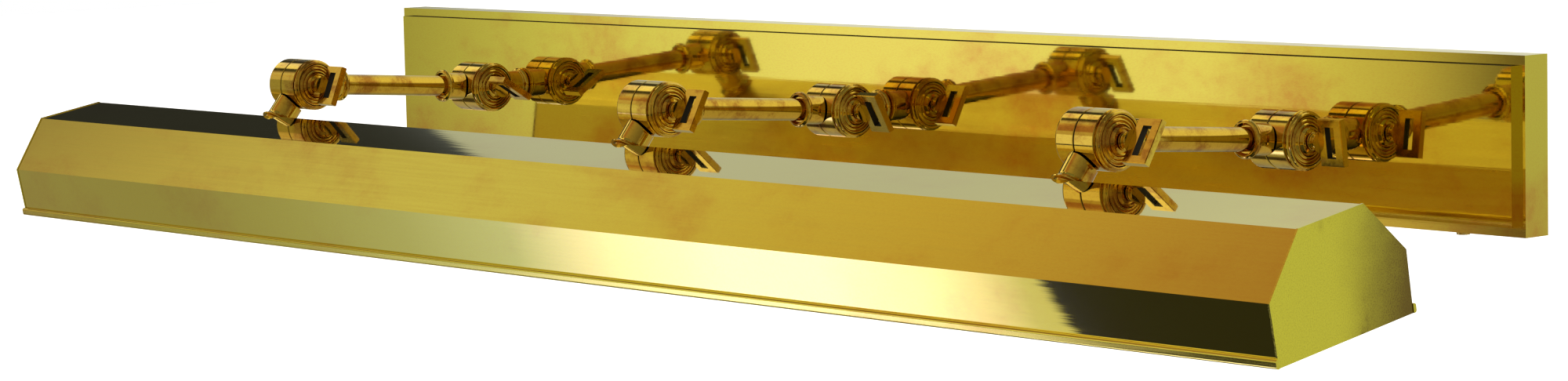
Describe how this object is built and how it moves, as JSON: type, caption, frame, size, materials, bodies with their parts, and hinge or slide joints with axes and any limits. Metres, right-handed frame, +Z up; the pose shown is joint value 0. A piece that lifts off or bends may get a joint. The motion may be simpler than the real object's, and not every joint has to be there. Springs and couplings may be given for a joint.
{
  "type": "picture light",
  "caption": "Long picture light with a folded sheet shade on three jointed arms that swivel from a long shallow wall box.",
  "frame": {"origin": "on the wall, at the centre of the wall screw pattern and of the wall box", "axes": "+X along the light to the right as seen from the room, +Y into the wall, +Z up"},
  "size_m": [1.22, 0.3104, 0.1368],
  "materials": {
    "wall_box_brass": "polished with light patina",
    "shade_brass": "satin brushed antique brass",
    "arm_brass": "polished antique brass",
    "key_brass": "satin antique brass",
    "plain_brass": "as machined",
    "zinc_steel": "zinc plated",
    "white_reflector": "gloss white enamel",
    "porcelain": "glazed",
    "terminal_plastic": "moulded",
    "rubber": "moulded",
    "opal_glass": "opal",
    "wire_insulation": "extruded",
    "fibre": "pressed"
  },
  "bodies": {
    "wall_mount": {"cover_frame": "wall_box_brass", "cover_panel": "wall_box_brass", "wall_plate": "zinc_steel", "upper_rail": "zinc_steel", "lower_rail": "zinc_steel", "cover_lugs": "plain_brass", "cover_screws": "plain_brass", "reinforcing_plates": "zinc_steel", "stem_nipples": "plain_brass", "stem_washers": "zinc_steel", "stem_locknuts": "plain_brass", "terminal_block": "terminal_plastic", "terminal_screws": "zinc_steel", "earth_stud": "plain_brass", "cable_grommet": "rubber", "backplate_wiring": "wire_insulation", "wall_knuckle_left": "arm_brass", "wall_knuckle_middle": "arm_brass", "wall_knuckle_right": "arm_brass", "rear_caps": "arm_brass"},
    "arms": {"arm_tube_left": "arm_brass", "arm_tube_middle": "arm_brass", "arm_tube_right": "arm_brass", "arm_rear_half_left": "arm_brass", "arm_rear_half_middle": "arm_brass", "arm_rear_half_right": "arm_brass", "arm_front_half_left": "arm_brass", "arm_front_half_middle": "arm_brass", "arm_front_half_right": "arm_brass", "friction_washers": "fibre", "arm_wiring": "wire_insulation", "front_caps": "arm_brass"},
    "rear_key_left": {"rear_key_left": "key_brass"},
    "rear_key_middle": {"rear_key_middle": "key_brass"},
    "rear_key_right": {"rear_key_right": "key_brass"},
    "front_key_left": {"front_key_left": "key_brass"},
    "front_key_middle": {"front_key_middle": "key_brass"},
    "front_key_right": {"front_key_right": "key_brass"},
    "shade": {"shade_knuckle_left": "arm_brass", "shade_knuckle_middle": "arm_brass", "shade_knuckle_right": "arm_brass", "shade_nipples": "plain_brass", "shade_washers": "zinc_steel", "shade_locknuts": "plain_brass", "shade_shell": "shade_brass", "end_cap_left": "shade_brass", "end_cap_right": "shade_brass", "front_bead": "shade_brass", "rear_bead": "shade_brass", "reflector_top": "white_reflector", "reflector_front": "white_reflector", "reflector_rear": "white_reflector", "lampholder_1": "porcelain", "lampholder_2": "porcelain", "lampholder_3": "porcelain", "lampholder_4": "porcelain", "lampholder_brackets": "zinc_steel", "lampholder_screws": "zinc_steel", "lamp_glass_1": "opal_glass", "lamp_glass_2": "opal_glass", "lamp_glass_3": "opal_glass", "lamp_glass_4": "opal_glass", "lamp_caps": "plain_brass", "shade_wiring": "wire_insulation"}
  },
  "joints": [
    {"name": "arms_tilt", "type": "hinge", "parent": "wall_mount", "child": "arms", "pos_m": [0, -0.058, 0], "axis": [1, 0, 0], "range_deg": [-50, 45]},
    {"name": "shade_tilt", "type": "hinge", "parent": "arms", "child": "shade", "pos_m": [0, -0.21009, 0.01117], "axis": [1, 0, 0], "range_deg": [-45, 54]},
    {"name": "rear_key_left_turn", "type": "hinge", "parent": "arms", "child": "rear_key_left", "pos_m": [-0.389, -0.058, 0], "axis": [1, 0, 0], "range_deg": [0, 150]},
    {"name": "front_key_left_turn", "type": "hinge", "parent": "arms", "child": "front_key_left", "pos_m": [-0.389, -0.21009, 0.01117], "axis": [1, 0, 0], "range_deg": [0, 150]},
    {"name": "rear_key_middle_turn", "type": "hinge", "parent": "arms", "child": "rear_key_middle", "pos_m": [0, -0.058, 0], "axis": [1, 0, 0], "range_deg": [0, 150]},
    {"name": "front_key_middle_turn", "type": "hinge", "parent": "arms", "child": "front_key_middle", "pos_m": [0, -0.21009, 0.01117], "axis": [1, 0, 0], "range_deg": [0, 150]},
    {"name": "rear_key_right_turn", "type": "hinge", "parent": "arms", "child": "rear_key_right", "pos_m": [0.389, -0.058, 0], "axis": [1, 0, 0], "range_deg": [0, 150]},
    {"name": "front_key_right_turn", "type": "hinge", "parent": "arms", "child": "front_key_right", "pos_m": [0.389, -0.21009, 0.01117], "axis": [1, 0, 0], "range_deg": [0, 150]}
  ]
}
